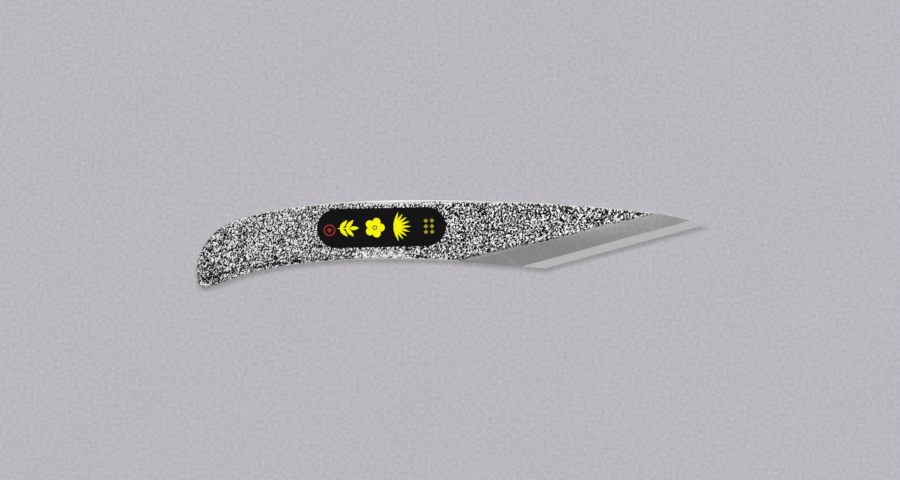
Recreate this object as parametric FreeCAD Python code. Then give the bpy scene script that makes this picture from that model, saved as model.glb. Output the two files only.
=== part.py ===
import FreeCAD, Part

import math
import os

# Japanese single-bevel skiving knife: one flat forged bar whose handle curls down to a rounded butt.
# The soft iron body carries a thin plate of hard steel, forge-welded to its back at the blade end,
# and a printed film label is stuck on the front of the handle.
#
# Millimetres. The knife lies on its flat back at Z = 0, with the bevel and the label up. +X points
# to the tip and +Y to the spine. The origin is the centre of the bounding box, on the back plane.

# ---- driving dimensions -------------------------------------------------------------------------
THICKNESS = 3.3              # of the bar, all along the handle
TAPER_START_X = 8.0          # from here the front face falls towards the tip
TAPER_SLOPE = 0.0068         # thickness lost for each millimetre of length
FRONT_ROUNDING = 0.8         # rounding along the front rim of the bar
BACK_ROUNDING = 0.3          # lighter easing along the back rim of the iron

TIP = (100.0, 7.5)
EDGE_LENGTH = 65.9           # cutting edge, heel to tip
EDGE_ANGLE = 15.2            # between the cutting edge and the length of the bar, degrees
BEVEL_ANGLE = 16.0           # between the single bevel and the flat back, degrees
EDGE_LAND = 0.04             # width of the honed edge itself

PLATE_THICKNESS = 0.95
PLATE_REAR_X = 6.0           # rear end of the steel plate
SCARF_LENGTH = 8.0           # the plate thins out over this length at its rear end
SCARF_TOE = 0.12             # thickness left at the toe of the scarf

HOLLOW_DEPTH = 0.12          # shallow hollow ground in the back of the steel
HOLLOW_LENGTH = 46.0
HOLLOW_WIDTH = 11.0
HOLLOW_ALONG = 20.0          # the hollow's centre, measured along the edge from the heel
HOLLOW_INWARD = 9.0          # and square to the edge

LABEL_LENGTH = 50.4
LABEL_HEIGHT = 15.3
LABEL_THICKNESS = 0.12
LABEL_CENTRE = (-27.4, 6.25)
LABEL_TURN = 1.3             # degrees

# ---- outline of the bar, seen from the front ------------------------------------------------------
SPINE_POINTS = [
    TIP,
    (89.6, 9.95),
    (76.0, 12.45),
    (55.0, 14.70),
    (29.0, 16.42),
    (0.0, 17.30),
    (-28.0, 17.22),
    (-52.0, 15.85),
    (-72.5, 12.90),
    (-86.3, 8.70),
    (-94.4, 2.95),
    (-99.05, -5.05),
    (-99.70, -13.30),
]
SPINE_TIP_HEADING = (-1.0, 0.24)
SPINE_BUTT_HEADING = (0.15, -1.0)
BUTT_CORNER = (-98.85, -16.15)
BELLY_POINTS = [
    (-96.10, -17.40),
    (-85.80, -14.05),
    (-72.50, -10.45),
    (-55.50, -7.75),
    (-36.00, -6.42),
    (-14.00, -6.42),
    (6.00, -7.25),
]
BELLY_BUTT_HEADING = (1.0, 0.22)

BAR_OVERRUN = 12.0           # stock beyond the tip, lost when the edge is ground
TOOL_REACH = 150.0           # the cutting solids reach this far past the knife


def heel():
    """Rear end of the cutting edge."""
    angle = math.radians(EDGE_ANGLE)
    return TIP[0] - EDGE_LENGTH * math.cos(angle), TIP[1] - EDGE_LENGTH * math.sin(angle)


def place(point, z=0.0):
    return FreeCAD.Vector(point[0], point[1], z)


def curve_through(points, first_heading, last_heading):
    """A smooth curve through the points that leaves and arrives along the two headings."""
    curve = Part.BSplineCurve()
    curve.interpolate(
        Points=[place(point) for point in points],
        InitialTangent=place(first_heading),
        FinalTangent=place(last_heading),
    )
    return curve.toShape()


def blank():
    """The bar with square rims, still running on past the tip."""
    belly_end = BELLY_POINTS[-1]
    belly_slope = (heel()[1] - belly_end[1]) / (heel()[0] - belly_end[0])
    spine_slope = SPINE_TIP_HEADING[1] / SPINE_TIP_HEADING[0]
    end_x = TIP[0] + BAR_OVERRUN
    sawn_spine = (end_x, TIP[1] + spine_slope * BAR_OVERRUN)
    sawn_belly = (end_x, belly_end[1] + belly_slope * (end_x - belly_end[0]))
    outline = Part.Wire([
        Part.makeLine(place(sawn_spine), place(TIP)),
        curve_through(SPINE_POINTS, SPINE_TIP_HEADING, SPINE_BUTT_HEADING),
        Part.Arc(place(SPINE_POINTS[-1]), place(BUTT_CORNER), place(BELLY_POINTS[0])).toShape(),
        curve_through(BELLY_POINTS, BELLY_BUTT_HEADING, (1.0, belly_slope)),
        Part.makeLine(place(belly_end), place(sawn_belly)),
        Part.makeLine(place(sawn_belly), place(sawn_spine)),
    ])
    return Part.Face(outline).extrude(FreeCAD.Vector(0, 0, THICKNESS))


def rim(shape, z):
    """The outline's edges at height z, without the sawn end of the bar."""
    edges = []
    for edge in shape.Edges:
        box = edge.BoundBox
        at_height = abs(box.ZMin - z) < 1e-4 and abs(box.ZMax - z) < 1e-4
        sawn_end = abs(box.XMin - TIP[0] - BAR_OVERRUN) < 1e-4
        if at_height and not sawn_end:
            edges.append(edge)
    return edges


def with_rounded_rims(shape):
    shape = shape.makeFillet(FRONT_ROUNDING, rim(shape, THICKNESS))
    return shape.makeFillet(BACK_ROUNDING, rim(shape, 0.0))


def prism(corners, frame):
    """A long prism on the X-Y plane of the frame, the corners its section, reaching both ways along Z."""
    loop = [FreeCAD.Vector(x, y, -TOOL_REACH) for x, y in corners + corners[:1]]
    solid = Part.Face(Part.makePolygon(loop)).extrude(FreeCAD.Vector(0, 0, 2 * TOOL_REACH))
    solid.Placement = frame
    return solid


def edge_frame():
    """Frame at the heel: X runs inward, square to the edge, Y up and Z along the edge."""
    angle = math.radians(EDGE_ANGLE)
    inward = FreeCAD.Vector(-math.sin(angle), math.cos(angle), 0)
    up = FreeCAD.Vector(0, 0, 1)
    return FreeCAD.Placement(place(heel()), FreeCAD.Rotation(inward, up, inward.cross(up)))


def side_frame():
    """Frame at the origin: X runs along the bar, Y up and Z across it."""
    along = FreeCAD.Vector(1, 0, 0)
    up = FreeCAD.Vector(0, 0, 1)
    return FreeCAD.Placement(FreeCAD.Vector(), FreeCAD.Rotation(along, up, along.cross(up)))


def bevel_waste():
    """What grinding the bevel takes away: all that lies ahead of the edge or above the bevel."""
    rise = math.tan(math.radians(BEVEL_ANGLE)) * TOOL_REACH
    section = [
        (0.0, -TOOL_REACH),
        (0.0, EDGE_LAND),
        (TOOL_REACH, EDGE_LAND + rise),
        (-TOOL_REACH, EDGE_LAND + rise),
        (-TOOL_REACH, -TOOL_REACH),
    ]
    return prism(section, edge_frame())


def taper_waste():
    """What leaves the front face falling towards the tip."""
    section = [
        (TAPER_START_X, THICKNESS),
        (TAPER_START_X + TOOL_REACH, THICKNESS - TAPER_SLOPE * TOOL_REACH),
        (TAPER_START_X + TOOL_REACH, THICKNESS + TOOL_REACH),
        (TAPER_START_X, THICKNESS + TOOL_REACH),
    ]
    return prism(section, side_frame())


def plate_space():
    """The layer that the steel plate fills, with the scarf at its rear end."""
    section = [
        (PLATE_REAR_X, -TOOL_REACH),
        (PLATE_REAR_X, SCARF_TOE),
        (PLATE_REAR_X + SCARF_LENGTH, PLATE_THICKNESS),
        (TOOL_REACH, PLATE_THICKNESS),
        (TOOL_REACH, -TOOL_REACH),
    ]
    return prism(section, side_frame())


def hollow_waste():
    """A very flat barrel that scoops the hollow out of the back of the steel."""
    long_radius = (HOLLOW_LENGTH / 2) ** 2 / (2 * HOLLOW_DEPTH)
    cross_radius = (HOLLOW_WIDTH / 2) ** 2 / (2 * HOLLOW_DEPTH)
    frame = edge_frame()
    centre = frame.multVec(FreeCAD.Vector(HOLLOW_INWARD, HOLLOW_DEPTH - long_radius, HOLLOW_ALONG))
    inward = frame.Rotation.multVec(FreeCAD.Vector(1, 0, 0))
    return Part.makeTorus(long_radius - cross_radius, cross_radius, centre, inward)


def ground(shape):
    return shape.cut(taper_waste()).cut(bevel_waste())


def iron_body():
    return ground(with_rounded_rims(blank())).cut(plate_space())


def steel_edge_plate():
    return ground(blank()).common(plate_space()).cut(hollow_waste())


def label():
    """The printed film: a strip with half-round ends, lying on the front face."""
    radius = LABEL_HEIGHT / 2
    half = LABEL_LENGTH / 2 - radius
    outline = Part.Wire([
        Part.makeLine(place((-half, -radius)), place((half, -radius))),
        Part.Arc(place((half, -radius)), place((half + radius, 0)), place((half, radius))).toShape(),
        Part.makeLine(place((half, radius)), place((-half, radius))),
        Part.Arc(place((-half, radius)), place((-half - radius, 0)), place((-half, -radius))).toShape(),
    ])
    film = Part.Face(outline).extrude(FreeCAD.Vector(0, 0, LABEL_THICKNESS))
    turn = FreeCAD.Rotation(FreeCAD.Vector(0, 0, 1), LABEL_TURN)
    film.Placement = FreeCAD.Placement(place(LABEL_CENTRE, THICKNESS), turn)
    return film


os.makedirs("parts", exist_ok=True)
for build_piece in (iron_body, steel_edge_plate, label):
    piece = build_piece()
    print(build_piece.__name__, "valid:", piece.isValid(), "solids:", len(piece.Solids),
          "volume:", round(piece.Volume, 2))
    piece.exportStep("parts/" + build_piece.__name__ + ".step")
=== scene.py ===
import math

import bmesh
import bpy
import numpy as np
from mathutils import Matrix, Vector
from mathutils.geometry import delaunay_2d_cdt
from mathutils.kdtree import KDTree


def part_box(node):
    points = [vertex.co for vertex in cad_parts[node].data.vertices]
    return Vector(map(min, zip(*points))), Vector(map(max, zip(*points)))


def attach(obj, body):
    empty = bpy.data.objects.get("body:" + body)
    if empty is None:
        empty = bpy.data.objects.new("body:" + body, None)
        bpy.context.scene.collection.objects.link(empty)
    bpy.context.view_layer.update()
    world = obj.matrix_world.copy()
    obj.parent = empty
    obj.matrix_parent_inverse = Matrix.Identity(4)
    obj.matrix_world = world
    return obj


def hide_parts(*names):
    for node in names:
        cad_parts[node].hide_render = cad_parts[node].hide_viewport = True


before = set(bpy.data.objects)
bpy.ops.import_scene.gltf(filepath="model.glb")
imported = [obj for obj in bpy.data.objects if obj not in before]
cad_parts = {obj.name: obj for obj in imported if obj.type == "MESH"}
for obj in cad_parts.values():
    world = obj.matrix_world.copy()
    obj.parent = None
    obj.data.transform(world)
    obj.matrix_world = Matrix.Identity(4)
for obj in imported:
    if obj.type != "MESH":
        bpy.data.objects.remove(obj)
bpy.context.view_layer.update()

# Looks of a forged single-bevel skiving knife lying on pale paper.
#
# The iron body, the steel plate and the label are built again as fine closed meshes over the shapes
# that the frame gives, so that the hammered scale is real relief and the weld line is crisp. One
# small group of nodes describes that scale. It is worked out at the vertices for the relief and at
# each shaded point for the colour, so both agree.
#
# Lengths are in millimetres in the frame's axes: +X to the tip, +Y to the spine, +Z out of the
# front. Meshes are scaled to metres as they are made.

MM = 0.001

# ---- iron: relief and wear ------------------------------------------------------------------------
RELIEF_DEPTH = 0.14          # floor of the hammered hollows below the bright lands
FORGED_WAVES = 0.16          # slower unevenness left by the hammer
FRONT_ROUNDING = 0.8         # of the iron's rims, as in the design
BACK_ROUNDING = 0.3
RIM_WEAR_AT = (-95.0, -80.0, -40.0, -30.0, 0.0, 30.0, 80.0)
RIM_WEAR = (0.4, 0.9, 1.5, 2.1, 2.1, 1.1, 0.7)  # how far in from the spine the rubbed rim reaches there
BELLY_SHARE = 0.35           # along the belly it reaches this share of that
WALL_WEAR = 0.6              # how far it reaches down the side walls
SHOULDER_WEAR = 0.06         # wear where the scale meets the bevel
SHOULDER_WEAR_HEIGHT = 1.2   # how far below the bevel's plane that wear fades
SHOULDER_BAND_AT = (12.0, 24.0, 36.0, 47.0, 58.0, 65.0, 76.0)
SHOULDER_BAND = (1.2, 1.0, 0.4, 0.4, 1.1, 0.5, 0.5)  # how far the polish reaches past the bevel there
SHOULDER_RAGGED = 0.24       # how raggedly it ends, in height
BACK_GRIND_LEAD = 12.0       # the ground part of the back starts this far behind the steel
BACK_GRIND_SLOPE = 0.03      # depth ground away for each millimetre towards the steel
BACK_RELIEF_END = 0.5        # no relief from this far behind the steel on, so that the weld fits

# The pattern of the scale is the sum of leaning strokes, grit between them and slower blots.
STROKE_WEIGHT = 0.7
GRIT_WEIGHT = 1.32
BLOT_WEIGHT = 0.3
STROKE_LEAN = (0.643, 0.766)
STROKE_STRETCH = 0.17        # strokes and grit are drawn out by this share along the lean
STROKE_TURN = (-0.06, 4.94)  # headings of the strokes, radians
STROKE_BEND = 0.71           # how far they are bent off their course
LEVELS = (0.028, 0.047)      # hollows lie where the pattern is below this, at the rear and the front
SOFT = 0.024                 # softness of the step from land to hollow
WEAR_LIFT = 0.5              # how much full wear lifts the pattern, which leaves fewer hollows
FINER = 1.27                 # how much finer the pattern is at the rear and near the belly
REAR_TO_FRONT = (-45.0, -5.0)  # it turns from its rear to its front kind over this stretch
BELLY_TO_MIDDLE = (-5.0, 3.0)  # and from the belly's kind to that of the middle over this one

PATCHES = [                  # x, y, half length, half width, wear: below 0 the scale is heavier
    (-27.0, -4.4, 9.0, 1.7, 0.25),
    (-23.0, 15.9, 10.0, 1.3, 0.20),
    (-13.0, -4.9, 3.0, 1.6, -0.12),
    (-5.0, -4.9, 3.5, 1.6, 0.10),
    (6.5, -5.2, 5.0, 1.9, -0.10),
    (-95.5, -12.5, 5.0, 4.5, -0.15),
]
HEAVY_SCALE = 0.21           # strength of the dark seam that follows the belly at the curl
HEAVY_SCALE_WIDTH = 0.5
HEAVY_SCALE_AT = (-92.0, -78.0, -66.0, -47.0, -44.0, -38.0)
HEAVY_SCALE_INSET = (3.4, 2.5, 1.5, 1.0, 2.3, 2.6)  # how far in from the belly it lies there
HEAVY_SCALE_WANDER = 0.25

# On the flat ground bevel, what a slightly rounded grind would mirror is painted into its colour.
CREST_HIGHLIGHT_AT = (22.0, -6.0)    # a painted highlight along a faint crest crosses the bevel here, behind the heel
CREST_HIGHLIGHT_FACING = (0.57, 0.82)
BEVEL_SHEEN_ALONG = (22.0, 56.0)  # over this stretch from the heel the bevel's painted sheen grows lighter,
BEVEL_SHEEN_SKEW = 2.4        # and sooner by this much for each millimetre in from the edge
BEVEL_SHEEN_INWARD = (3.0, 11.0)  # the painted sheen at the weld turns to that at the scale this far in

# ---- steel ----------------------------------------------------------------------------------------
WELD_WAVE = 0.02             # size of the weld plane's wander, in height
STEEL_EASING = 0.12          # back corners of the steel, away from the cutting edge

# ---- mesh pitch -----------------------------------------------------------------------------------
FINE = 0.27                  # hammered front
MIDDLE = 0.45                # hammered back
COARSE = 0.9                 # ground and hidden faces
OUTLINE_STEP = 0.33
DENSE_STEP = 0.05            # for measuring distances to the outline
STEP_GAP = 0.01              # points stand this close to the small step at the plate's rear end
HALF_WIDTH = 20.0            # more than the knife reaches to either side
CLEARANCE = 0.45             # share of its pitch that a lattice keeps off outlines and rings
EDGE_CUT = 0.02              # height of a cut through the honed edge
WALL_ROWS = 9
MEET = 0.001                 # vertices closer than this are one


# ---- reading the frame ----------------------------------------------------------------------------
def corners(node):
    """Lowest and highest corner of a CAD node."""
    low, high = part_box(node)
    return np.array(low) / MM, np.array(high) / MM


def facet(node, chosen):
    """The plane, as normal and offset, of the node's faces whose normal passes the test."""
    total = np.zeros(3)
    offset = 0.0
    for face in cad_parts[node].data.polygons:
        if chosen(face.normal):
            total += face.area * np.array(face.normal)
            offset += face.area * face.center.dot(face.normal) / MM
    size = np.linalg.norm(total)
    return total / size, offset / size


def height_on(plane, xy):
    normal, offset = plane
    return (offset - xy @ normal[:2]) / normal[2]


def cross(a, b):
    return a[..., 0] * b[..., 1] - a[..., 1] * b[..., 0]


def cut_edges(node, z):
    """A bmesh of the node cut at height z, and the edges that lie in the cut."""
    mesh = bmesh.new()
    mesh.from_mesh(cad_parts[node].data)
    bmesh.ops.remove_doubles(mesh, verts=mesh.verts, dist=1e-7)
    parts = mesh.verts[:] + mesh.edges[:] + mesh.faces[:]
    cut = bmesh.ops.bisect_plane(mesh, geom=parts, plane_co=(0, 0, z * MM), plane_no=(0, 0, 1))
    return mesh, {item for item in cut["geom_cut"] if isinstance(item, bmesh.types.BMEdge)}


def plan_loop(node, z):
    """The node's outline at height z, anticlockwise, with no points along its straight runs."""
    mesh, left = cut_edges(node, z)
    loops = []
    while left:
        chain = list(left.pop().verts)
        onward = [edge for edge in chain[-1].link_edges if edge in left]
        while onward:
            left.remove(onward[0])
            chain.append(onward[0].other_vert(chain[-1]))
            onward = [edge for edge in chain[-1].link_edges if edge in left]
        loops.append(np.array([tuple(vert.co.xy) for vert in chain[:-1]]) / MM)
    mesh.free()
    areas = [cross(loop, np.roll(loop, -1, axis=0)).sum() for loop in loops]
    outer = int(np.argmax(np.abs(areas)))
    return thinned(loops[outer] if areas[outer] > 0 else loops[outer][::-1])


def thinned(loop):
    """The loop without the points that stand on the straight line between their neighbours."""
    while True:
        before = np.roll(loop, 1, axis=0)
        chord = np.roll(loop, -1, axis=0) - before
        bend = np.abs(cross(chord, loop - before)) / np.linalg.norm(chord, axis=1)
        if bend.min() > MEET:
            return loop
        loop = np.delete(loop, bend.argmin(), axis=0)


def from_longest_run(loop):
    """The loop turned so that its longest straight run joins its first two points."""
    runs = np.linalg.norm(np.roll(loop, -1, axis=0) - loop, axis=1)
    return np.roll(loop, -int(runs.argmax()), axis=0)


# ---- curves and points ----------------------------------------------------------------------------
def smooth_curve(points, spacing):
    """Evenly spaced points on a smooth curve through the given ones."""
    steps = np.linalg.norm(np.diff(points, axis=0), axis=1)
    slopes = np.diff(points, axis=0) / steps[:, None]
    weights = steps[1:, None] * slopes[:-1] + steps[:-1, None] * slopes[1:]
    middle = weights / (steps[1:] + steps[:-1])[:, None]
    tangents = np.vstack([slopes[:1], middle, slopes[-1:]])
    reach = np.concatenate([[0.0], np.cumsum(steps)])
    at = np.linspace(0.0, reach[-1], max(2, int(round(reach[-1] / spacing)) + 1))
    k = np.clip(np.searchsorted(reach, at, side="right") - 1, 0, len(steps) - 1)
    t = ((at - reach[k]) / steps[k])[:, None]
    run = steps[k][:, None]
    return (
        (1 + 2 * t) * (1 - t) ** 2 * points[k]
        + t * (1 - t) ** 2 * run * tangents[k]
        + t ** 2 * (3 - 2 * t) * points[k + 1]
        + t ** 2 * (t - 1) * run * tangents[k + 1]
    )


def straight(start, end, spacing):
    """Evenly spaced points from start to end, both included."""
    count = max(1, int(round(np.linalg.norm(end - start) / spacing)))
    return start + np.linspace(0.0, 1.0, count + 1)[:, None] * (end - start)


class Curve:
    """A curve with fast answers on distance and direction. Its inside is on the left."""

    def __init__(self, points):
        self.points = points
        along = np.gradient(points, axis=0)
        along = along / np.linalg.norm(along, axis=1)[:, None]
        self.inward = np.column_stack([-along[:, 1], along[:, 0]])
        self.tree = KDTree(len(points))
        for index, (x, y) in enumerate(points):
            self.tree.insert((x, y, 0.0), index)
        self.tree.balance()

    def nearest(self, xy):
        """Distance to the curve, and index of the nearest point on it."""
        found = [self.tree.find((x, y, 0.0)) for x, y in xy]
        return np.array([f[2] for f in found]), np.array([f[1] for f in found])

    def ring(self, inset, spacing):
        """The curve moved inward."""
        every = max(1, int(round(spacing / DENSE_STEP)))
        return (self.points + inset * self.inward)[::every]


def inside(xy, loop):
    """Which points lie inside the loop."""
    result = np.zeros(len(xy), bool)
    for (x0, y0), (x1, y1) in zip(loop, np.roll(loop, -1, axis=0)):
        if y0 != y1:
            spans = (y0 > xy[:, 1]) != (y1 > xy[:, 1])
            result ^= spans & (xy[:, 0] < x0 + (xy[:, 1] - y0) * (x1 - x0) / (y1 - y0))
    return result


def lattice(loop, spacing):
    """A triangular lattice over the loop's box."""
    low, high = loop.min(0), loop.max(0)
    x, y = np.meshgrid(
        np.arange(low[0], high[0], spacing),
        np.arange(low[1], high[1], spacing * math.sqrt(0.75)),
    )
    x = x + (np.arange(len(x)) % 2)[:, None] * spacing / 2
    return np.column_stack([x.ravel(), y.ravel()])


def fill_points(loop, wall, insets, spacing_at):
    """Points inside the loop: rings along the wall, then a lattice whose pitch follows spacing_at."""
    border = Curve(closed(loop, DENSE_STEP))
    points = []
    for inset in insets:
        ring = wall.ring(inset, OUTLINE_STEP)
        ring = ring[inside(ring, loop)]
        points.append(ring[border.nearest(ring)[0] > inset - DENSE_STEP / 2])
    margin = insets[-1] if len(insets) else 0.0
    for spacing in (FINE, MIDDLE, COARSE):
        grid = lattice(loop, spacing)
        grid = grid[np.isclose(spacing_at(grid), spacing)]
        grid = grid[inside(grid, loop)]
        clear = border.nearest(grid)[0] > CLEARANCE * spacing
        if margin:
            clear &= wall.nearest(grid)[0] > margin + CLEARANCE * spacing
        points.append(grid[clear])
    return np.vstack(points)


def closed(loop, spacing):
    """Points at most spacing apart round a closed loop."""
    ends = np.roll(loop, -1, axis=0)
    return np.vstack([straight(a, b, spacing)[:-1] for a, b in zip(loop, ends)])


# ---- closed meshes --------------------------------------------------------------------------------
def skin(points, rim_size):
    """Upward-facing triangles over the points. The first rim_size points are the outline, in order."""
    rim = [(i, (i + 1) % rim_size) for i in range(rim_size)]
    found = delaunay_2d_cdt([Vector(p) for p in points], rim, [], 1, 1e-6)
    source = np.array([min(s) for s in found[3]])
    triangles = source[np.array(found[2])]
    a, b, c = (points[triangles[:, k]] for k in range(3))
    down = cross(b - a, c - a) < 0
    triangles[down] = triangles[down][:, ::-1]
    return triangles


FRONT, BACK, WALL = 0, 1, 2


class Sheets:
    """A closed solid as a front sheet and a back sheet over one outline, joined by a wall."""

    def __init__(self, loop, front_inner, back_inner, front_height, back_height):
        size = len(loop)
        front = np.vstack([loop, front_inner])
        back = np.vstack([loop, back_inner])
        front_z = front_height(front)
        back_z = back_height(back)
        shares = np.arange(1, WALL_ROWS) / WALL_ROWS
        walls = [np.column_stack([loop, front_z[:size] * (1 - s) + back_z[:size] * s]) for s in shares]
        self.places = np.vstack(
            [np.column_stack([front, front_z]), np.column_stack([back, back_z])] + walls
        )
        self.side = np.repeat([FRONT, BACK, WALL], [len(front), len(back), size * (WALL_ROWS - 1)])
        self.on_outline = self.side == WALL
        self.on_outline[:size] = True
        self.on_outline[len(front):len(front) + size] = True
        rows = [np.arange(size)]
        rows += [len(front) + len(back) + k * size + np.arange(size) for k in range(WALL_ROWS - 1)]
        rows += [len(front) + np.arange(size)]
        wall_triangles = []
        for upper, lower in zip(rows, rows[1:]):
            upper_next, lower_next = np.roll(upper, -1), np.roll(lower, -1)
            wall_triangles.append(np.column_stack([upper, lower, lower_next]))
            wall_triangles.append(np.column_stack([upper, lower_next, upper_next]))
        self.triangles = np.vstack(
            [skin(front, size), skin(back, size)[:, ::-1] + len(front)] + wall_triangles
        )

    def normals(self):
        """The outward normal at each vertex."""
        corner = self.places[self.triangles]
        face = np.cross(corner[:, 1] - corner[:, 0], corner[:, 2] - corner[:, 0])
        total = np.zeros_like(self.places)
        for k in range(3):
            np.add.at(total, self.triangles[:, k], face)
        return total / np.maximum(np.linalg.norm(total, axis=1), 1e-12)[:, None]


def make_mesh(name, places, triangles, fields, sharp_angle, materials):
    """A piece from places in millimetres. Vertices that meet are joined, and vanished faces dropped.

    The fields are values at the vertices that the materials read.
    """
    rounded = np.round(places / MEET)
    _, first, merged = np.unique(rounded, axis=0, return_index=True, return_inverse=True)
    triangles = merged.ravel()[triangles]
    real = (triangles != np.roll(triangles, 1, axis=1)).all(axis=1)
    triangles = triangles[real]
    used, compact = np.unique(triangles, return_inverse=True)
    first = first[used]
    mesh = bpy.data.meshes.new(name)
    mesh.from_pydata((places[first] * MM).tolist(), [], compact.reshape(-1, 3).tolist())
    for field, values in fields.items():
        kind, slot = ("FLOAT_VECTOR", "vector") if values.ndim == 2 else ("FLOAT", "value")
        layer = mesh.attributes.new(field, kind, "POINT")
        layer.data.foreach_set(slot, values[first].astype(np.float32).ravel())
    for material in materials:
        mesh.materials.append(material)
    mesh.shade_smooth()
    mesh.set_sharp_from_angle(angle=math.radians(sharp_angle))
    piece = bpy.data.objects.new(name, mesh)
    bpy.context.scene.collection.objects.link(piece)
    return piece


# ---- node graphs ----------------------------------------------------------------------------------
COLOURS = ("RGBA", "VECTOR")
HEADING_3D = 5               # socket of the Gabor node; the flat heading has the same name


class Graph:
    """Short forms for building node trees, for shading and for geometry alike."""

    def __init__(self, tree):
        self.tree = tree

    def node(self, kind, inputs=None, **settings):
        node = self.tree.nodes.new(kind)
        for name, value in settings.items():
            setattr(node, name, value)
        for name, value in (inputs or {}).items():
            self.feed(node.inputs[name], value)
        return node

    def feed(self, socket, value):
        if isinstance(value, bpy.types.NodeSocket):
            self.tree.links.new(value, socket)
        else:
            socket.default_value = value

    def number(self, operation, *values):
        inputs = dict(enumerate(values))
        return self.node("ShaderNodeMath", inputs, operation=operation).outputs[0]

    def vector(self, operation, *values):
        inputs = dict(enumerate(values))
        if operation == "SCALE":
            inputs = {0: values[0], "Scale": values[1]}
        node = self.node("ShaderNodeVectorMath", inputs, operation=operation)
        return node.outputs["Value" if operation == "DOT_PRODUCT" else "Vector"]

    def noise(self, place, scale, detail=1.0, roughness=0.5, distortion=0.0, colour=False):
        inputs = {"Vector": place, "Scale": scale, "Detail": detail, "Roughness": roughness}
        inputs["Distortion"] = distortion
        node = self.node("ShaderNodeTexNoise", inputs, noise_dimensions="3D")
        return node.outputs[1 if colour else 0]

    def smooth(self, value, low, high):
        """0 at low, 1 at high, smooth in between and flat beyond."""
        inputs = {"Value": value, "From Min": low, "From Max": high}
        return self.node("ShaderNodeMapRange", inputs, interpolation_type="SMOOTHSTEP").outputs[0]

    def part(self, vector, axis):
        return self.node("ShaderNodeSeparateXYZ", {0: vector}).outputs[axis]

    def scaled(self, value, low, high):
        """low where value is 0 and high where it is 1."""
        return self.number("MULTIPLY_ADD", value, high - low, low)

    def mix(self, share, a, b):
        """a where share is 0 and b where it is 1. Both are numbers, or both are colours.

        The node has its own sockets for each kind.
        """
        colours = any(isinstance(v, tuple) or getattr(v, "type", "") in COLOURS for v in (a, b))
        inputs = {0: share, 6 if colours else 2: a, 7 if colours else 3: b}
        node = self.node("ShaderNodeMix", inputs, data_type="RGBA" if colours else "FLOAT")
        return node.outputs[2 if colours else 0]

    def attribute(self, name, vector=False):
        node = self.node("ShaderNodeAttribute", attribute_name=name)
        return node.outputs["Vector" if vector else "Fac"]


def scale_field(graph, place):
    """Leaning strokes with grit between them, and slower blots. Bright lands lie where it is high."""
    lean = graph.vector("DOT_PRODUCT", place, (*STROKE_LEAN, 0.0))
    drawn = graph.vector("SCALE", (*STROKE_LEAN, 0.0), graph.number("MULTIPLY", lean, -STROKE_STRETCH))
    drawn = graph.vector("ADD", place, drawn)
    turn = graph.scaled(graph.noise(drawn, 0.46), *STROKE_TURN)
    heading = graph.node(
        "ShaderNodeCombineXYZ",
        {"X": graph.number("COSINE", turn), "Y": graph.number("SINE", turn)},
    ).outputs[0]
    drift = graph.vector("SUBTRACT", graph.noise(drawn, 1.06, colour=True), (0.5, 0.5, 0.5))
    bent = graph.vector("ADD", drawn, graph.vector("SCALE", drift, STROKE_BEND))
    strokes = graph.node(
        "ShaderNodeTexGabor",
        {"Vector": bent, "Scale": 0.85, "Frequency": 1.0, "Anisotropy": 0.7, HEADING_3D: heading},
        gabor_type="3D",
    ).outputs["Value"]
    total = graph.number("MULTIPLY", graph.number("SUBTRACT", strokes, 0.5), STROKE_WEIGHT)
    grit = graph.noise(drawn, 1.54, 2.1, 0.6, 0.58)
    total = graph.number("MULTIPLY_ADD", graph.number("SUBTRACT", grit, 0.5), GRIT_WEIGHT, total)
    blots = graph.noise(place, 0.45, 1.0, 0.5, 0.8)
    return graph.number("MULTIPLY_ADD", graph.number("SUBTRACT", blots, 0.5), BLOT_WEIGHT, total)


def forwardness(graph, place):
    """0 behind the label, 1 in front of it and smooth in between."""
    return graph.smooth(graph.part(place, "X"), *REAR_TO_FRONT)


def hammered(graph, place, wear):
    """The scale pattern at a place in millimetres: 0 on the bright lands, 1 on the hollow floors.

    At the rear, and near the belly, the scale is finer.
    """
    forward = forwardness(graph, place)
    near_belly = graph.number("SUBTRACT", 1.0, graph.smooth(graph.part(place, "Y"), *BELLY_TO_MIDDLE))
    finer = graph.number("MAXIMUM", near_belly, graph.number("SUBTRACT", 1.0, forward))
    coarse_field = scale_field(graph, place)
    fine_field = scale_field(graph, graph.vector("SCALE", place, FINER))
    total = graph.mix(finer, coarse_field, fine_field)
    total = graph.number("MULTIPLY_ADD", wear, WEAR_LIFT, total)
    level = graph.scaled(forward, *LEVELS)
    land, floor = graph.number("ADD", level, SOFT), graph.number("SUBTRACT", level, SOFT)
    return graph.smooth(total, land, floor)


def sunk(graph, place, wear):
    """How far the surface lies below its smooth form."""
    waves = graph.number("MULTIPLY", graph.noise(place, 0.28), FORGED_WAVES)
    return graph.number("MULTIPLY_ADD", hammered(graph, place, wear), RELIEF_DEPTH, waves)


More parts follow.
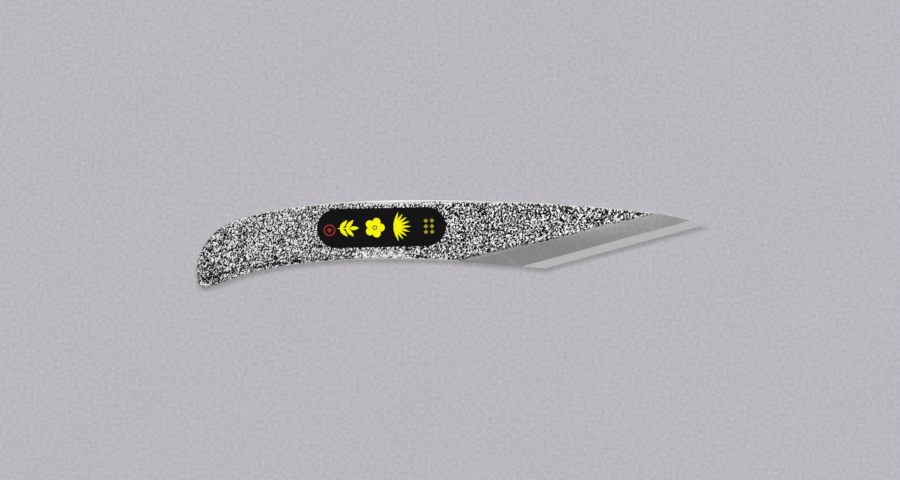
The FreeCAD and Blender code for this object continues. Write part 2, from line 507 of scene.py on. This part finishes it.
def at_vertices(recipe, places, wear):
    """What a recipe such as hammered gives at each place, worked out by a geometry tree."""
    mesh = bpy.data.meshes.new("probe")
    mesh.vertices.add(len(places))
    mesh.vertices.foreach_set("co", places.astype(np.float32).ravel())
    mesh.attributes.new("wear", "FLOAT", "POINT").data.foreach_set("value", wear.astype(np.float32))
    probe = bpy.data.objects.new("probe", mesh)
    bpy.context.scene.collection.objects.link(probe)

    tree = bpy.data.node_groups.new("probe", "GeometryNodeTree")
    for direction in ("INPUT", "OUTPUT"):
        tree.interface.new_socket("Geometry", in_out=direction, socket_type="NodeSocketGeometry")
    graph = Graph(tree)
    place = graph.node("GeometryNodeInputPosition").outputs[0]
    worn = graph.node("GeometryNodeInputNamedAttribute", {"Name": "wear"}, data_type="FLOAT").outputs[0]
    store = graph.node(
        "GeometryNodeStoreNamedAttribute",
        {
            "Geometry": graph.node("NodeGroupInput").outputs[0],
            "Name": "hollow",
            "Value": recipe(graph, place, worn),
        },
        data_type="FLOAT",
        domain="POINT",
    )
    graph.node("NodeGroupOutput", {0: store.outputs[0]})
    probe.modifiers.new("probe", "NODES").node_group = tree

    result = probe.evaluated_get(bpy.context.evaluated_depsgraph_get()).data
    values = np.zeros(len(places), np.float32)
    result.attributes["hollow"].data.foreach_get("value", values)
    bpy.data.objects.remove(probe)
    bpy.data.node_groups.remove(tree)
    return values.astype(float)


# ---- the shape that the frame gives ---------------------------------------------------------------
iron_high = corners("iron_body")[1]
steel_low, steel_high = corners("steel_edge_plate")
plate_thickness = steel_high[2]
plate_rear = steel_low[0]

bevel = facet("steel_edge_plate", lambda n: 0.9 < n.z < 0.99 and n.y < -0.1)
scarf = facet("steel_edge_plate", lambda n: 0.98 < n.z < 0.999 and n.x < -0.05)
taper = facet("iron_body", lambda n: 0.999 < n.z and 0.003 < n.x < 0.05)

iron_loop = from_longest_run(plan_loop("iron_body", plate_thickness + MEET))
steel_loop = from_longest_run(plan_loop("steel_edge_plate", EDGE_CUT))
weld_rear, weld_front = iron_loop[0], iron_loop[1]
heel, tip = steel_loop[0], steel_loop[1]
edge_along = (tip - heel) / np.linalg.norm(tip - heel)
edge_inward = np.array([-edge_along[1], edge_along[0]])
bevel_rise = np.linalg.norm(bevel[0][:2]) / bevel[0][2]


def weld_wave(xy):
    """How far the weld plane wanders up or down at a place.

    It dips on both sides of the middle, and fades out at the ends of the line that the bevel bares.
    """
    run = weld_front - weld_rear
    t = np.clip((xy - weld_rear) @ run / (run @ run), 0.0, 1.0)
    wander = np.cos(9.7 * (t - 0.55)) - 1.0 + 0.2 * np.sin(23.0 * t + 1.9) + 0.15 * np.sin(51.0 * t)
    return WELD_WAVE * wander * np.minimum(1.0, 8.0 * np.minimum(t, 1.0 - t))


def weld_height(xy):
    """The face where the iron and the steel are welded, with the scarf at its rear end."""
    return np.minimum(height_on(scarf, xy), plate_thickness + weld_wave(xy))


def bevel_height(xy):
    return height_on(bevel, xy)


def knife_outline():
    """The iron's outline up to the weld line, then round the cutting edge of the steel."""
    return np.vstack([iron_loop[1:], iron_loop[:1], [heel, tip]])


def weld_line():
    """The weld where the bevel lays it bare, from its rear end to its front end."""
    line = straight(weld_rear, weld_front, OUTLINE_STEP)
    return line + (weld_wave(line) / bevel_rise)[:, None] * edge_inward


def rounding(distance, radius):
    """How far a rounded rim falls at a distance in from the outline."""
    short = np.clip(radius - distance, 0.0, radius)
    return radius - np.sqrt(np.maximum(radius ** 2 - short ** 2, 0.0))


def round_insets(radius, steps):
    angles = np.linspace(0.0, math.pi / 2, steps + 1)[1:]
    return radius * (1 - np.cos(angles))


# ---- iron body ------------------------------------------------------------------------------------
def fade(distance, reach):
    """1 on the outline, 0 beyond reach."""
    t = np.clip(distance / reach, 0.0, 1.0)
    return 1 - t * t * (3 - 2 * t)


def rim_wear(sheets, wall, rim_distance, nearest):
    """How far each vertex is rubbed bright, most of all along the rims. Below 0 is heavy scale."""
    x, y, z = sheets.places.T
    inward = wall.inward[nearest, 1]
    reach = np.interp(x, RIM_WEAR_AT, RIM_WEAR) * np.interp(inward, (-0.5, 0.5), (1.0, BELLY_SHARE))
    below_rim = iron_high[2] - FRONT_ROUNDING - z
    wear = np.where(sheets.side == WALL, fade(below_rim, WALL_WEAR), fade(rim_distance, reach))
    patches = np.zeros(len(x))
    for centre_x, centre_y, half_length, half_width, strength in PATCHES:
        away = ((x - centre_x) / half_length) ** 2 + ((y - centre_y) / half_width) ** 2
        patches += strength * np.exp(-away)
    seam = np.interp(x, HEAVY_SCALE_AT, HEAVY_SCALE_INSET) + HEAVY_SCALE_WANDER * np.sin(0.9 * x)
    heavy = HEAVY_SCALE * np.exp(-((rim_distance - seam) / HEAVY_SCALE_WIDTH) ** 2)
    heavy *= (inward > 0.5) * np.clip(HEAVY_SCALE_AT[-1] - x, 0.0, 1.0)
    return wear + np.where(sheets.side == FRONT, patches - heavy, 0.0)


def iron_sheets(wall, loop):
    """The smooth body before any relief, still without its bevel."""

    def front_height(xy):
        rim = iron_high[2] - rounding(wall.nearest(xy)[0], FRONT_ROUNDING)
        return np.minimum(rim, height_on(taper, xy))

    def back_height(xy):
        rim = rounding(wall.nearest(xy)[0], BACK_ROUNDING)
        return np.where(xy[:, 0] > plate_rear, np.maximum(weld_height(xy), 0.0), rim)

    def front_spacing(xy):
        deep = iron_high[2] - bevel_height(xy) > 2 * (RELIEF_DEPTH + FORGED_WAVES)
        return np.where(deep, COARSE, FINE)

    def back_spacing(xy):
        return np.where(xy[:, 0] < plate_rear, MIDDLE, COARSE)

    across = np.arange(-HALF_WIDTH, HALF_WIDTH, MIDDLE)
    step = np.array([[x, y] for x in (plate_rear - STEP_GAP, plate_rear + STEP_GAP) for y in across])
    step = step[inside(step, loop)]
    step = step[wall.nearest(step)[0] > MIDDLE]
    return Sheets(
        loop,
        fill_points(loop, wall, round_insets(FRONT_ROUNDING, 6), front_spacing),
        np.vstack([fill_points(loop, wall, round_insets(BACK_ROUNDING, 3), back_spacing), step]),
        front_height,
        back_height,
    )


def iron_body(material):
    """The forged bar. Its relief is sunk into the smooth body, and then the bevel is ground."""
    wall_points = np.vstack([iron_loop[1:], iron_loop[:1]])
    wall = Curve(smooth_curve(wall_points, DENSE_STEP))
    loop = np.vstack([smooth_curve(wall_points, OUTLINE_STEP), weld_line()[1:-1]])
    sheets = iron_sheets(wall, loop)
    xy, z = sheets.places[:, :2], sheets.places[:, 2]
    rim_distance, nearest = wall.nearest(xy)
    over_bevel = z - bevel_height(xy)
    wear = rim_wear(sheets, wall, rim_distance, nearest)
    wear += SHOULDER_WEAR * np.exp(np.minimum(over_bevel, 0.0) / SHOULDER_WEAR_HEIGHT)

    ground_back = (xy[:, 0] - plate_rear + BACK_GRIND_LEAD) * BACK_GRIND_SLOPE
    band = np.interp(xy[:, 0], SHOULDER_BAND_AT, SHOULDER_BAND) * bevel_rise
    cut = np.where(sheets.side == BACK, ground_back, over_bevel + band)

    depth = at_vertices(sunk, sheets.places, wear)
    depth = np.where(sheets.side == BACK, np.maximum(depth - np.maximum(cut, 0.0), 0.0), depth)
    hidden = (sheets.side == BACK) & (xy[:, 0] > plate_rear - BACK_RELIEF_END)
    on_weld = sheets.on_outline & (rim_distance > DENSE_STEP)
    bevelled = sheets.on_outline & (over_bevel > 0.0)
    depth[hidden | on_weld | bevelled] = 0.0

    places = sheets.places - sheets.normals() * depth[:, None]
    places[:, 2] = np.minimum(places[:, 2], bevel_height(places[:, :2]))
    fields = {"rest": sheets.places, "cut": cut, "wear": wear}
    piece = make_mesh("iron_body_forged", places, sheets.triangles, fields, 48.0, [material])
    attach(piece, "root")
    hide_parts("iron_body")


# ---- steel plate ----------------------------------------------------------------------------------
def hollow_shape():
    """Centre, half sizes and depth of the hollow in the back, along and square to the edge."""
    spots = []
    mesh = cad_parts["steel_edge_plate"].data
    for face in mesh.polygons:
        around = np.array([tuple(mesh.vertices[v].co) for v in face.vertices]) / MM
        if face.normal.z < -0.5 and around[:, 2].max() > 0.005:
            spots.append(around)
    spots = np.vstack(spots)
    local = (spots[:, :2] - heel) @ np.column_stack([edge_along, edge_inward])
    low, high = local.min(0), local.max(0)
    return (low + high) / 2, (high - low) / 2, spots[:, 2].max()


def steel_plate(material):
    """The ground plate: cutting edge, spine side, rear end and belly side, over a hollow back."""
    around = steel_loop[1:]
    rear_end = np.flatnonzero(around[:, 0] < plate_rear + MEET)
    spine_points = around[:rear_end[0] + 1]
    belly_points = np.vstack([around[rear_end[0] + 1:], steel_loop[:1]])
    spine = smooth_curve(spine_points, OUTLINE_STEP)
    rear = straight(spine_points[-1], belly_points[0], OUTLINE_STEP)
    belly = smooth_curve(belly_points, OUTLINE_STEP)
    edge = straight(heel, tip, OUTLINE_STEP)
    loop = np.vstack([edge[:-1], spine[:-1], rear[:-1], belly[:-1]])
    blunt = Curve(np.vstack([
        smooth_curve(spine_points, DENSE_STEP),
        straight(spine_points[-1], belly_points[0], DENSE_STEP),
        smooth_curve(belly_points, DENSE_STEP),
    ]))
    centre, half, depth = hollow_shape()

    def back_height(xy):
        local = (xy - heel) @ np.column_stack([edge_along, edge_inward])
        away = (((local - centre) / half) ** 2).sum(1)
        return np.maximum(depth * (1 - away), rounding(blunt.nearest(xy)[0], STEEL_EASING))

    def back_spacing(xy):
        return np.full(len(xy), COARSE)

    weld = weld_line()
    front_inner = fill_points(loop, blunt, [], back_spacing)
    front_inner = front_inner[Curve(weld).nearest(front_inner)[0] > OUTLINE_STEP]
    sheets = Sheets(
        loop,
        np.vstack([front_inner, weld[1:-1]]),
        fill_points(loop, blunt, round_insets(STEEL_EASING, 3), back_spacing),
        weld_height,
        back_height,
    )
    places = sheets.places.copy()
    places[:, 2] = np.minimum(places[:, 2], np.maximum(bevel_height(places[:, :2]), 0.0))
    fields = {"rest": sheets.places}
    piece = make_mesh("steel_edge_plate_ground", places, sheets.triangles, fields, 12.0, [material])
    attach(piece, "root")
    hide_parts("steel_edge_plate")


# ---- label ----------------------------------------------------------------------------------------
def turned(points, degrees):
    angle = math.radians(degrees)
    c, s = math.cos(angle), math.sin(angle)
    return points @ np.array([[c, s], [-s, c]])


def circle(radius, count=28):
    angles = np.arange(count) * 2 * math.pi / count
    return radius * np.column_stack([np.cos(angles), np.sin(angles)])


def leaf(length, width, count=9):
    """A brush stroke that swells and tapers, from the origin along +X."""
    t = np.linspace(0.0, 1.0, count)
    swell = 0.5 * width * np.sin(math.pi * t ** 0.8) ** 0.9
    upper = np.column_stack([length * t, swell])
    lower = np.column_stack([length * t, -swell])[::-1]
    return np.vstack([upper, lower[1:-1]])


def sprig():
    """Paired leaves on a stalk."""
    shapes = [leaf(7.4, 0.5) + (-4.2, 0.0), leaf(3.6, 1.5) + (0.8, 0.0)]
    for x, length in ((-3.0, 4.3), (-0.6, 4.3)):
        for side in (-1, 1):
            shapes.append(turned(leaf(length, 1.5), side * 48) + (x, 0.0))
    return shapes, []


def blossom():
    """Five round petals about a centre."""
    shapes = [turned(circle(1.55) + (2.35, 0.0), 72 * k) for k in range(5)]
    shapes.append(circle(0.55))
    return shapes, []


def needles():
    """A fan of pine needles."""
    shapes = [turned(leaf(6.8 - 0.012 * abs(a), 0.95), a) + (-3.4, 0.0) for a in range(-72, 73, 18)]
    return shapes, []


def seal():
    """A plain ring round a lozenge."""
    return [circle(2.25), circle(0.95, 4)], [circle(1.85)]


def lozenges():
    """A small grid of lozenges."""
    shapes = [circle(0.85, 4) + (x, y) for x in (-1.2, 1.2) for y in (-2.2, 0.0, 2.2)]
    return shapes, []


BLACK, YELLOW, GOLD, RED = range(4)  # order of the film's materials
ORNAMENTS = [                # ink, place along and across the label, shape
    (RED, (-20.3, -0.6), seal),
    (YELLOW, (-13.2, 0.0), sprig),
    (YELLOW, (-2.6, 0.0), blossom),
    (YELLOW, (8.2, 0.2), needles),
    (GOLD, (18.6, 0.1), lozenges),
]
ORNAMENT_STEP = 0.3          # longest side of the ornaments' outlines in the mesh
ORNAMENT_CLEAR = 0.2         # the film's own points keep this far off them
LABEL_SAG = 0.018            # how far the film sinks into the relief below it
LABEL_BRIDGING = 2.0         # it bridges the finest pits, so its hollows are this much wider
LABEL_RIM = 0.05             # rounding of the film's rim
LABEL_PITCH = 0.45           # of the film's own points


def placed_ornaments():
    """The ink of each ornament, and its outlines and holes where they lie on the label."""
    placed = []
    for ink, place, shape in ORNAMENTS:
        shapes, holes = shape()
        shapes = [outline + place for outline in shapes]
        holes = [outline + place for outline in holes]
        placed.append((ink, shapes, holes))
    return placed


def ink_at(places, placed):
    """Which ink lies at each place on the front of the label. A hole leaves the last shape inside it."""
    printed = np.full(len(places), BLACK)
    for ink, shapes, _ in placed:
        for outline in shapes:
            printed[inside(places, outline)] = ink
    for _, shapes, holes in placed:
        for outline in holes:
            printed[inside(places, outline) & ~inside(places, shapes[-1])] = BLACK
    return printed


def label_film(materials):
    """The film, with the outlines of its ornaments cut into the mesh of its front."""
    low, high = corners("label")
    rim = from_longest_run(plan_loop("label", (low[2] + high[2]) / 2))
    along = (rim[1] - rim[0]) / np.linalg.norm(rim[1] - rim[0])
    axes = np.column_stack([along, [-along[1], along[0]]])
    centre = (rim.max(0) + rim.min(0)) / 2
    loop = closed((rim - centre) @ axes, LABEL_PITCH)
    edge = Curve(closed(loop, DENSE_STEP))

    placed = placed_ornaments()
    outlines = [outline for _, shapes, holes in placed for outline in shapes + holes]
    marks = np.vstack([closed(outline, ORNAMENT_STEP) for outline in outlines])

    grid = lattice(loop, LABEL_PITCH)
    grid = grid[inside(grid, loop)]
    grid = grid[edge.nearest(grid)[0] > LABEL_PITCH]
    grid = grid[Curve(marks).nearest(grid)[0] > ORNAMENT_CLEAR]
    ring = loop * (1 - LABEL_RIM / np.linalg.norm(loop, axis=1))[:, None]

    def to_frame(xy):
        return xy @ axes.T + centre

    def front_height(xy):
        places = np.column_stack([to_frame(xy), np.full(len(xy), low[2])])
        sag = at_vertices(hammered, places / LABEL_BRIDGING, np.zeros(len(xy)))
        inset = edge.nearest(xy)[0]
        sag *= np.clip(inset, 0.0, 1.0)
        return high[2] - rounding(inset, LABEL_RIM) - LABEL_SAG * sag

    def back_height(xy):
        return np.full(len(xy), low[2])

    sheets = Sheets(loop, np.vstack([ring, grid, marks]), grid, front_height, back_height)
    sheets.places[:, :2] = to_frame(sheets.places[:, :2])
    fields = {"rest": sheets.places}
    piece = make_mesh("label_film", sheets.places, sheets.triangles, fields, 35.0, materials)

    middles = np.array([tuple(face.center) for face in piece.data.polygons]) / MM
    on_front = middles[:, 2] > (low[2] + high[2]) / 2
    printed = np.where(on_front, ink_at((middles[:, :2] - centre) @ axes, placed), BLACK)
    piece.data.polygons.foreach_set("material_index", printed.astype(np.int32))
    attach(piece, "root")
    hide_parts("label")


# ---- materials ------------------------------------------------------------------------------------
def new_material(name):
    """A material with one Principled shader, and its graph."""
    material = bpy.data.materials.new(name)
    material.use_nodes = True
    graph = Graph(material.node_tree)
    shader = material.node_tree.nodes["Principled BSDF"]
    return material, graph, shader


def grey(level):
    return (level, level, level, 1.0)


def measured(graph, place, origin, direction):
    """How far a place lies from the origin, measured in a direction on the plan."""
    away = graph.vector("SUBTRACT", place, (*origin, 0.0))
    return graph.vector("DOT_PRODUCT", away, (*direction, 0.0))


def stone_lines(graph, rest, along_scale, inward_scale):
    """Noise drawn out square to the cutting edge, as a stone leaves it."""
    along = graph.vector("DOT_PRODUCT", rest, (*edge_along, 0.0))
    inward = graph.vector("DOT_PRODUCT", rest, (*edge_inward, 0.0))
    along = graph.number("MULTIPLY", along, along_scale)
    inward = graph.number("MULTIPLY", inward, inward_scale)
    place = graph.node("ShaderNodeCombineXYZ", {"X": along, "Y": inward}).outputs[0]
    return graph.noise(place, 1.0, 3.0, 0.6)


def bump(graph, height, distance):
    inputs = {"Height": height, "Distance": distance * MM, "Strength": 1.0}
    return graph.node("ShaderNodeBump", inputs).outputs[0]


def land_colour(graph, rest, wear):
    """The bright metal between the hollows: a little duller at the rear, and dull again where wear
    begins, but bright on the rubbed rims."""
    tone = graph.smooth(graph.noise(rest, 1.2, 2.0, 0.6), 0.3, 0.7)
    bright = graph.mix(forwardness(graph, rest), (0.84, 0.84, 0.83, 1.0), (0.97, 0.97, 0.96, 1.0))
    land = graph.mix(tone, (0.52, 0.52, 0.51, 1.0), bright)
    land = graph.mix(graph.smooth(wear, 0.0, 0.6), land, (0.44, 0.44, 0.435, 1.0))
    return graph.mix(graph.smooth(wear, 0.45, 0.95), land, (0.81, 0.81, 0.80, 1.0))


def bevel_colour_and_sheen(graph, rest, lines):
    """The ground bevel: satin grey with a painted sheen that is lighter towards the tip, and a painted
    highlight along a faint crest behind the heel.
    """
    along = measured(graph, rest, heel, edge_along)
    inward = measured(graph, rest, heel, edge_inward)
    # painted sheen: the satin grey lightens towards the tip, and more so towards the scale
    forward = graph.number("MULTIPLY_ADD", inward, BEVEL_SHEEN_SKEW, along)
    forward = graph.smooth(forward, *BEVEL_SHEEN_ALONG)
    near_weld = graph.mix(forward, grey(0.257), grey(0.323))
    near_scale = graph.mix(forward, grey(0.254), grey(0.365))
    satin = graph.mix(graph.smooth(inward, *BEVEL_SHEEN_INWARD), near_weld, near_scale)
    speck = graph.smooth(graph.noise(rest, 1.3, 2.0, 0.6), 0.3, 0.7)
    satin = graph.vector("SCALE", satin, graph.scaled(speck, 0.90, 1.10))
    # painted highlight along a faint crest
    past = measured(graph, rest, CREST_HIGHLIGHT_AT, CREST_HIGHLIGHT_FACING)
    crest = graph.number("SUBTRACT", 1.0, graph.smooth(graph.number("ABSOLUTE", past), 0.0, 1.1))
    crest = graph.number("MULTIPLY", crest, graph.smooth(past, 3.0, -0.5))
    satin = graph.vector("SCALE", satin, graph.scaled(crest, 1.0, 1.15))
    return graph.vector("SCALE", satin, graph.scaled(lines, 0.9, 1.1))


def iron_material():
    """Forged scale, and satin wherever the grinding went deeper than the scale lies."""
    material, graph, shader = new_material("forged_iron")
    rest = graph.attribute("rest", vector=True)
    wear = graph.attribute("wear")
    cut = graph.attribute("cut")
    ragged = graph.scaled(graph.noise(rest, 1.5, 2.0), -SHOULDER_RAGGED, SHOULDER_RAGGED)
    over = graph.number("SUBTRACT", cut, sunk(graph, rest, wear))
    ground = graph.smooth(graph.number("ADD", over, ragged), -0.01, 0.02)
    hollow = graph.smooth(hammered(graph, rest, wear), 0.14, 0.58)
    fine = graph.noise(rest, 6.0, 3.0, 0.65)
    lines = stone_lines(graph, rest, 9.0, 0.35)

    oxide = graph.mix(forwardness(graph, rest), (0.006, 0.008, 0.009, 1.0), (0.004, 0.005, 0.006, 1.0))
    forged = graph.mix(hollow, land_colour(graph, rest, wear), oxide)
    graph.feed(shader.inputs["Base Color"], graph.mix(ground, forged, bevel_colour_and_sheen(graph, rest, lines)))
    metal = graph.mix(ground, graph.mix(hollow, 0.85, 0.0), 0.9)
    graph.feed(shader.inputs["Metallic"], metal)
    rough = graph.mix(ground, graph.mix(hollow, graph.scaled(fine, 0.30, 0.46), 0.65), 0.42)
    graph.feed(shader.inputs["Roughness"], rough)
    graph.feed(shader.inputs["Specular IOR Level"], graph.mix(hollow, 0.5, 0.08))
    grain = graph.mix(ground, fine, graph.scaled(lines, 0.35, 0.65))
    graph.feed(shader.inputs["Normal"], bump(graph, grain, 0.02))
    return material


def steel_material():
    """Ground steel, brighter than the iron, with finer lines."""
    material, graph, shader = new_material("edge_steel")
    rest = graph.attribute("rest", vector=True)
    lines = stone_lines(graph, rest, 12.0, 0.5)
    cloud = graph.noise(rest, 0.25, 2.0)
    dull = (0.45, 0.452, 0.45, 1.0)
    satin = graph.mix(lines, dull, (0.525, 0.527, 0.525, 1.0))
    satin = graph.mix(graph.scaled(cloud, 0.0, 0.3), satin, dull)
    graph.feed(shader.inputs["Base Color"], satin)
    shader.inputs["Metallic"].default_value = 1.0
    graph.feed(shader.inputs["Roughness"], graph.scaled(lines, 0.28, 0.38))
    graph.feed(shader.inputs["Normal"], bump(graph, lines, 0.008))
    return material


def ink_material(name, colour, roughness, mottle):
    """Print on the film: even colour, with the faint mottle of screen printing."""
    material, graph, shader = new_material(name)
    rest = graph.attribute("rest", vector=True)
    speck = graph.noise(rest, 3.5, 3.0, 0.7)
    dark = tuple(c * (1 - mottle) for c in colour)
    graph.feed(shader.inputs["Base Color"], graph.mix(speck, (*dark, 1.0), (*colour, 1.0)))
    graph.feed(shader.inputs["Roughness"], graph.scaled(speck, roughness - 0.05, roughness + 0.05))
    shader.inputs["Specular IOR Level"].default_value = 0.03
    graph.feed(shader.inputs["Normal"], bump(graph, speck, 0.004))
    return material


# ---- stage ----------------------------------------------------------------------------------------
FLOOR_SIZE = 8000.0
FLOOR_FINE_X = (-106.0, 107.0, 0.8)  # the fine part of the sheet: from, to and step
FLOOR_FINE_Y = (-25.0, 25.0, 0.4)
FLOOR_DROP = 0.02            # the sheet lies this far below the knife, so that no faces coincide
# The soft shadow round the knife is painted into the paper's colour.
SHADE_SHIFT = (0.1, -1.35)   # the painted soft shadow lies this far from straight below the knife
SHADE_BLUR = 1.25            # half the width of its edge
SHADE_DEPTH = 0.37           # how dark the painted shadow is
EDGE_SHADE = 0.35            # the painted shadow reaches this much further past the cutting edge
PAPER = (0.496, 0.484, 0.519)
CAMERA_LENS = 120.0
SENSOR_WIDTH = 36.0
VIEW_WIDTH = 353.0           # width of the picture at the knife
VIEW_CENTRE = (-0.57, 1.39)
BEYOND = (0.512, 0.500, 0.535)  # what the camera sees past the sheet: the sheet's own lit colour
DOME_LOW = 0.65              # brightness of the dome near the floor
DOME_HIGH = 0.45             # and what it gains towards the top,
DOME_TOP = 0.40              # and again straight overhead
DOME_NORTH = 0.19            # share by which it is brighter due north and darker due south
DOME_ON_MATT = 0.16          # brightness of the dome as matt surfaces see it
LAMP_STRENGTH = 2.62
LAMP_WIDTH = 4.0             # degrees


def paper_material():
    """Pale paper with faint fibres, darker where the soft shadow is painted into its colour."""
    material, graph, shader = new_material("paper")
    position = graph.node("ShaderNodeNewGeometry").outputs["Position"]
    place = graph.vector("SCALE", position, 1 / MM)
    fibres = graph.noise(place, 0.75, 3.0, 0.75)
    clouds = graph.noise(place, 0.02, 2.0)
    tone = graph.number("MULTIPLY", graph.scaled(fibres, 0.70, 1.30), graph.scaled(clouds, 0.97, 1.03))
    # painted shadow: the paper's colour darkens by up to SHADE_DEPTH where the knife's shadow would fall
    shade = graph.scaled(graph.attribute("shade"), 1.0, 1.0 - SHADE_DEPTH)
    paper = graph.vector("SCALE", PAPER, graph.number("MULTIPLY", tone, shade))
    graph.feed(shader.inputs["Base Color"], paper)
    shader.inputs["Roughness"].default_value = 0.9
    shader.inputs["Specular IOR Level"].default_value = 0.1
    return material


def painted_soft_shadow(xy):
    """How much of the knife's soft shadow, painted into the paper's colour, falls at each place of the
    paper.
    """
    loop = knife_outline()
    loop[-2:] -= EDGE_SHADE * edge_inward
    loop = closed(loop, DENSE_STEP)
    moved = xy - SHADE_SHIFT
    distance = Curve(loop).nearest(moved)[0]
    distance[inside(moved, loop)] *= -1
    t = np.clip(0.5 - 0.5 * distance / SHADE_BLUR, 0.0, 1.0)
    return t * t * (3 - 2 * t)


def paper_floor():
    """A large sheet, fine near the knife so that it can hold the soft edge of the painted shadow."""
    x = np.concatenate([[-FLOOR_SIZE / 2], np.arange(*FLOOR_FINE_X), [FLOOR_SIZE / 2]])
    y = np.concatenate([[-FLOOR_SIZE / 2], np.arange(*FLOOR_FINE_Y), [FLOOR_SIZE / 2]])
    xy = np.stack(np.meshgrid(x, y), axis=-1).reshape(-1, 2)
    corner = (np.arange(len(y) - 1)[:, None] * len(x) + np.arange(len(x) - 1)).ravel()
    faces = np.column_stack([corner, corner + 1, corner + 1 + len(x), corner + len(x)])
    mesh = bpy.data.meshes.new("paper")
    places = np.column_stack([xy, np.zeros(len(xy))]) * MM
    mesh.from_pydata(places.tolist(), [], faces.tolist())
    # the painted shadow, kept at the sheet's vertices for the paper's colour
    shade = mesh.attributes.new("shade", "FLOAT", "POINT")
    shade.data.foreach_set("value", painted_soft_shadow(xy).astype(np.float32))
    mesh.materials.append(paper_material())
    floor = bpy.data.objects.new("paper", mesh)
    floor.location.z = -FLOOR_DROP * MM
    bpy.context.scene.collection.objects.link(floor)


def studio_dome():
    """The room: a wide pale dome, brightest overhead and a little brighter to the north.

    Polished surfaces mirror it. It adds little to matt ones. The camera itself sees plain paper
    colour beyond the sheet.
    """
    world = bpy.data.worlds.new("studio")
    world.use_nodes = True
    world.cycles.sampling_method = "NONE"
    bpy.context.scene.world = world
    graph = Graph(world.node_tree)
    direction = graph.node("ShaderNodeTexCoord").outputs["Generated"]
    up = graph.part(direction, "Z")
    north = graph.part(direction, "Y")
    mirrored = graph.number("MULTIPLY_ADD", graph.smooth(up, 0.30, 0.95), DOME_HIGH, DOME_LOW)
    mirrored = graph.number("MULTIPLY_ADD", graph.smooth(up, 0.85, 1.0), DOME_TOP, mirrored)
    mirrored = graph.number("MULTIPLY", mirrored, graph.number("MULTIPLY_ADD", north, DOME_NORTH, 1.0))
    light = graph.node("ShaderNodeLightPath")
    seen = light.outputs["Is Camera Ray"]
    level = graph.mix(light.outputs["Is Diffuse Ray"], mirrored, DOME_ON_MATT)
    background = world.node_tree.nodes["Background"]
    graph.feed(background.inputs["Strength"], graph.mix(seen, level, 1.0))
    graph.feed(background.inputs["Color"], graph.mix(seen, (1.0, 1.0, 1.0, 1.0), (*BEYOND, 1.0)))


def ceiling_light():
    """A broad lamp straight overhead for the matt surfaces. The polished ones don't mirror it."""
    lamp = bpy.data.lights.new("ceiling", "SUN")
    lamp.energy = LAMP_STRENGTH
    lamp.angle = math.radians(LAMP_WIDTH)
    ceiling = bpy.data.objects.new("ceiling", lamp)
    ceiling.visible_glossy = False
    bpy.context.scene.collection.objects.link(ceiling)


def camera_above():
    """The camera looks straight down from far above."""
    data = bpy.data.cameras.new("camera")
    data.lens = CAMERA_LENS
    data.sensor_width = SENSOR_WIDTH
    camera = bpy.data.objects.new("camera", data)
    height = VIEW_WIDTH * CAMERA_LENS / SENSOR_WIDTH
    camera.location = (VIEW_CENTRE[0] * MM, VIEW_CENTRE[1] * MM, height * MM)
    bpy.context.scene.collection.objects.link(camera)
    bpy.context.scene.camera = camera


iron_body(iron_material())
steel_plate(steel_material())
label_film([
    ink_material("film_black", (0.0053, 0.0052, 0.0058), 0.42, 0.3),
    ink_material("ink_yellow", (0.96, 0.92, 0.004), 0.5, 0.04),
    ink_material("ink_gold", (0.50, 0.42, 0.015), 0.5, 0.35),
    ink_material("ink_red", (0.42, 0.035, 0.03), 0.5, 0.2),
])
paper_floor()
studio_dome()
ceiling_light()
camera_above()
bpy.context.scene.view_settings.view_transform = "Standard"
